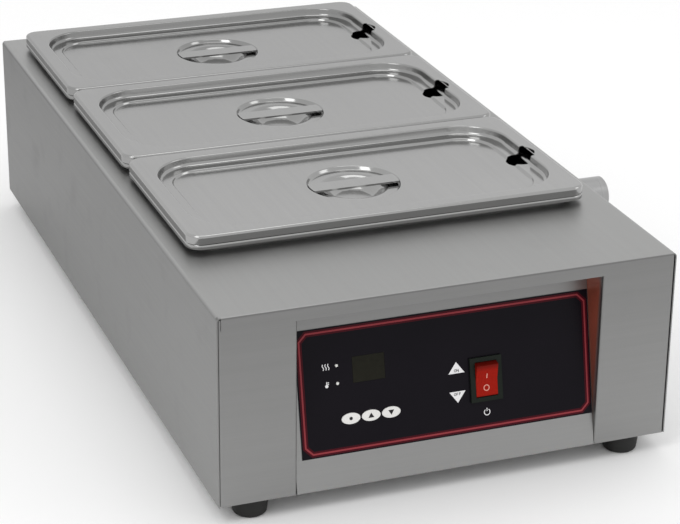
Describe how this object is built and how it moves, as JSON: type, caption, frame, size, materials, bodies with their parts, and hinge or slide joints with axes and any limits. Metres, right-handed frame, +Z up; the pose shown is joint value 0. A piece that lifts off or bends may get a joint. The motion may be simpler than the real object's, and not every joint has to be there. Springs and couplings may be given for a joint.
{
  "type": "chocolate melting tank",
  "caption": "Counter-top water-bath chocolate melter: low steel cabinet with lidded gastronorm pans, leaning control plate with keys and rocker switch, side drain valve and rubber feet.",
  "frame": {"origin": "middle of the whole outline, on the counter under the feet", "axes": "+X to the right as seen from the controls, +Y from the controls to the back, +Z up"},
  "size_m": [0.47, 0.6916, 0.181],
  "materials": {
    "cabinet_steel": "satin, brushed",
    "pan_steel": "satin, lightly polished",
    "fitting_steel": "turned",
    "lever_steel": "dark coating",
    "screw_steel": "plated",
    "label_black": "printed film, semi-gloss",
    "lens": "dark, clear-coated",
    "lamp_white": "translucent",
    "key_white": "moulded",
    "switch_black": "moulded",
    "rocker_red": "translucent red",
    "board_green": "solder resist",
    "brass": "turned",
    "black_plastic": "moulded",
    "cream_plastic": "moulded",
    "white_plastic": "waxy",
    "wire_sleeve": "silicone sleeve",
    "heater_rubber": "silicone mat",
    "black_rubber": "matt",
    "wool": "mineral fibre slab"
  },
  "bodies": {
    "cabinet": {"top_deck": "cabinet_steel", "left_side_panel": "cabinet_steel", "right_side_panel": "cabinet_steel", "rear_panel": "cabinet_steel", "base_plate": "cabinet_steel", "control_plate": "cabinet_steel", "panel_label": "label_black", "display_window": "lens", "display_module": "black_plastic", "heat_lamp": "lamp_white", "thermal_lamp": "lamp_white", "key_switches": "black_plastic", "control_board": "board_green", "board_standoffs": "brass", "switch_housing": "switch_black", "terminal_block": "cream_plastic", "heater_relay": "black_plastic", "earth_stud": "brass", "heater_wires": "wire_sleeve", "water_tank": "cabinet_steel", "heater_mat": "heater_rubber", "tank_insulation": "wool", "temperature_probe": "fitting_steel", "thermal_cutout": "black_plastic", "drain_spigot": "fitting_steel", "drain_gasket": "black_rubber", "drain_lock_nut": "fitting_steel", "valve_body": "fitting_steel", "valve_seats": "white_plastic", "drain_spout": "fitting_steel", "cord_gland": "black_plastic", "gland_cap": "black_plastic", "gland_seal": "black_rubber", "gland_nut": "black_plastic", "front_left_foot": "black_rubber", "front_right_foot": "black_rubber", "rear_left_foot": "black_rubber", "rear_right_foot": "black_rubber", "foot_screws": "screw_steel", "foot_nuts": "screw_steel", "base_screws": "screw_steel", "panel_screws": "screw_steel", "rear_screws": "screw_steel"},
    "front_vessel": {"front_pan": "pan_steel"},
    "middle_vessel": {"middle_pan": "pan_steel"},
    "rear_vessel": {"rear_pan": "pan_steel"},
    "front_cover": {"front_lid": "pan_steel", "front_lid_handle": "pan_steel"},
    "middle_cover": {"middle_lid": "pan_steel", "middle_lid_handle": "pan_steel"},
    "rear_cover": {"rear_lid": "pan_steel", "rear_lid_handle": "pan_steel"},
    "rocker": {"switch_rocker": "rocker_red"},
    "set_button": {"set_key": "key_white"},
    "up_button": {"up_key": "key_white"},
    "down_button": {"down_key": "key_white"},
    "drain_turner": {"valve_ball": "fitting_steel", "valve_stem": "fitting_steel", "valve_lever": "lever_steel", "lever_nut": "fitting_steel"}
  },
  "joints": [
    {"name": "front_pan_lift", "type": "slide", "parent": "cabinet", "child": "front_vessel", "axis": [0, 0, 1], "range_m": [0, 0.12]},
    {"name": "middle_pan_lift", "type": "slide", "parent": "cabinet", "child": "middle_vessel", "axis": [0, 0, 1], "range_m": [0, 0.12]},
    {"name": "rear_pan_lift", "type": "slide", "parent": "cabinet", "child": "rear_vessel", "axis": [0, 0, 1], "range_m": [0, 0.12]},
    {"name": "front_lid_lift", "type": "slide", "parent": "front_vessel", "child": "front_cover", "axis": [0, 0, 1], "range_m": [0, 0.08]},
    {"name": "middle_lid_lift", "type": "slide", "parent": "middle_vessel", "child": "middle_cover", "axis": [0, 0, 1], "range_m": [0, 0.08]},
    {"name": "rear_lid_lift", "type": "slide", "parent": "rear_vessel", "child": "rear_cover", "axis": [0, 0, 1], "range_m": [0, 0.08]},
    {"name": "switch_tip", "type": "hinge", "parent": "cabinet", "child": "rocker", "pos_m": [-0.022, -0.32996, 0.07933], "axis": [-1, 0, 0], "range_deg": [0, 16]},
    {"name": "set_key_press", "type": "slide", "parent": "cabinet", "child": "set_button", "axis": [0, 0.9781, -0.2079], "range_m": [0, 0.0005], "stiffness_N_per_m": 1000},
    {"name": "up_key_press", "type": "slide", "parent": "cabinet", "child": "up_button", "axis": [0, 0.9781, -0.2079], "range_m": [0, 0.0005], "stiffness_N_per_m": 1000},
    {"name": "down_key_press", "type": "slide", "parent": "cabinet", "child": "down_button", "axis": [0, 0.9781, -0.2079], "range_m": [0, 0.0005], "stiffness_N_per_m": 1000},
    {"name": "drain_turn", "type": "hinge", "parent": "cabinet", "child": "drain_turner", "pos_m": [0.1648, -0.00965, 0.105], "axis": [0, 0, 1], "range_deg": [0, 90]}
  ]
}
